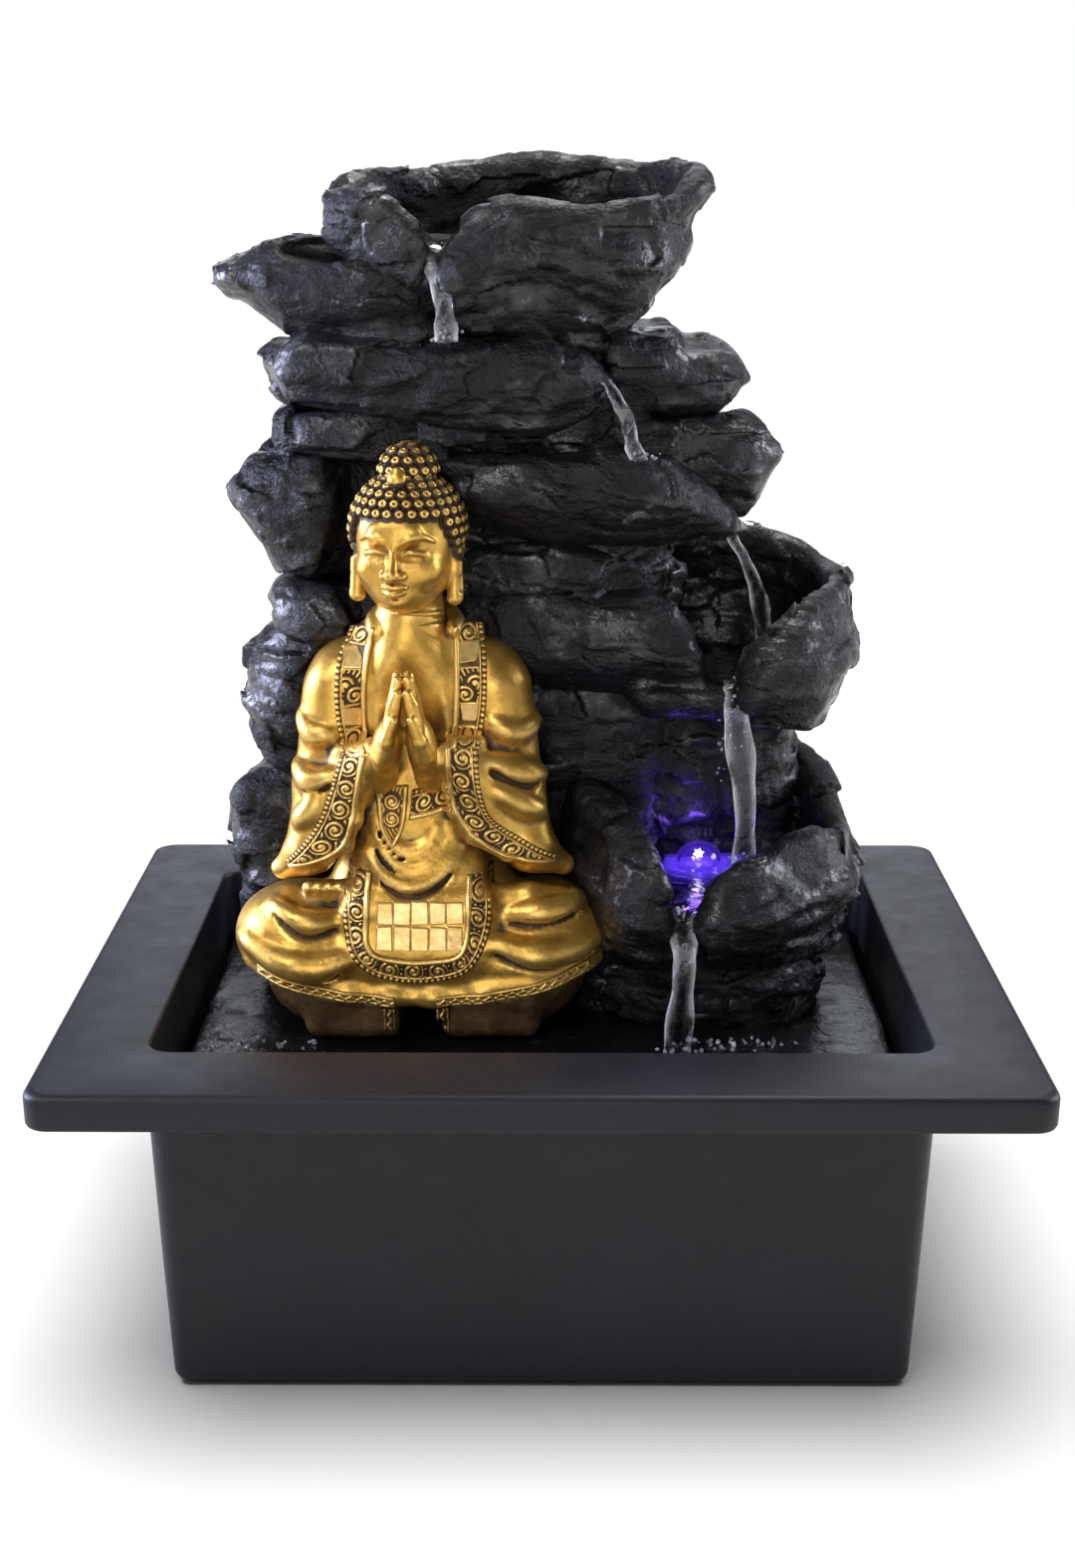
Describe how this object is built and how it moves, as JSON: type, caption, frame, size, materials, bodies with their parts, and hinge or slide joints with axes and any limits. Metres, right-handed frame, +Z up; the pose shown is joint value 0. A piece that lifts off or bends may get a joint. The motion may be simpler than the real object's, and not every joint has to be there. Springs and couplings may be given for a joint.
{
  "type": "tabletop water fountain",
  "caption": "Tabletop water fountain: lipped black basin, lift-out slate-look rockwork with catch bowls and a lamp, gold seated figure, and a submersible pump.",
  "frame": {"origin": "centre of the footprint, on the surface that the foot pads stand on", "axes": "+Z up, +X to the right and -Y towards the viewer, as seen from the figure's front"},
  "size_m": [0.21, 0.17, 0.263],
  "materials": {
    "basin_plastic": "moulded, very fine leather grain",
    "pad_rubber": "matt",
    "pump_plastic": "moulded",
    "motor_iron": "laminated",
    "motor_copper": "enamelled wire",
    "shaft_ceramic": "ground",
    "gland_rubber": "matt",
    "cup_rubber": "smooth",
    "socket_plastic": "moulded",
    "slider_plastic": "moulded",
    "magnet_ferrite": "ground",
    "impeller_plastic": "moulded",
    "rock_resin": "cast resin with a chipped slate texture",
    "hose_vinyl": "extruded",
    "lamp_housing": "moulded",
    "lamp_lens": "clear",
    "lamp_emitter": "lit, violet blue",
    "lead_vinyl": "extruded",
    "figure_gold": "cast resin in antiqued gold paint",
    "figure_base": "cast resin in dark bronze paint",
    "tile_mirror": "gold-tinted mirror glass"
  },
  "bodies": {
    "basin": {"basin_tub": "basin_plastic", "basin_rear_wall": "basin_plastic", "basin_lip": "basin_plastic", "foot_pads": "pad_rubber", "cable_grommet": "gland_rubber", "pump_case": "pump_plastic", "stator_core": "motor_iron", "stator_coil": "motor_copper", "volute": "pump_plastic", "shaft": "shaft_ceramic", "shaft_bushes": "gland_rubber", "suction_cups": "cup_rubber", "cord_gland": "gland_rubber", "led_socket": "socket_plastic"},
    "rockwork": {"rock_bed": "rock_resin", "bed_legs": "rock_resin", "rock_core": "rock_resin", "top_bowl": "rock_resin", "top_left_slab": "rock_resin", "upper_ledge": "rock_resin", "upper_left_wedge": "rock_resin", "right_outcrop_high": "rock_resin", "right_outcrop_low": "rock_resin", "middle_ledge": "rock_resin", "left_ledge": "rock_resin", "recess_slab": "rock_resin", "upper_catch_bowl": "rock_resin", "left_shelf": "rock_resin", "left_block": "rock_resin", "left_boulder": "rock_resin", "mid_slab": "rock_resin", "lower_bowl": "rock_resin", "lower_plinth": "rock_resin", "water_hose": "hose_vinyl", "bowl_nozzle": "pump_plastic", "hose_clips": "pump_plastic", "led_housing": "lamp_housing", "led_lens": "lamp_lens", "led_emitter": "lamp_emitter", "led_seal": "gland_rubber", "led_lead": "lead_vinyl", "led_plug": "socket_plastic", "figure": "figure_gold", "figure_plinth": "figure_base", "figure_pegs": "figure_base", "shoulder_tiles": "tile_mirror", "apron_tiles": "tile_mirror"},
    "intake_cover": {"strainer_cover": "pump_plastic"},
    "flow_control": {"flow_slider": "slider_plastic"},
    "rotor": {"rotor_magnet": "magnet_ferrite", "impeller": "impeller_plastic"}
  },
  "joints": [
    {"name": "rockwork_lift", "type": "slide", "parent": "basin", "child": "rockwork", "axis": [0, 0, 1], "range_m": [0, 0.09]},
    {"name": "intake_cover_pull", "type": "slide", "parent": "basin", "child": "intake_cover", "axis": [-1, 0, 0], "range_m": [0, 0.025]},
    {"name": "flow_adjust", "type": "slide", "parent": "intake_cover", "child": "flow_control", "axis": [0, 1, 0], "range_m": [0, 0.007]},
    {"name": "rotor_spin", "type": "hinge", "parent": "basin", "child": "rotor", "pos_m": [0, 0.032, 0.024], "axis": [1, 0, 0], "continuous": true}
  ]
}
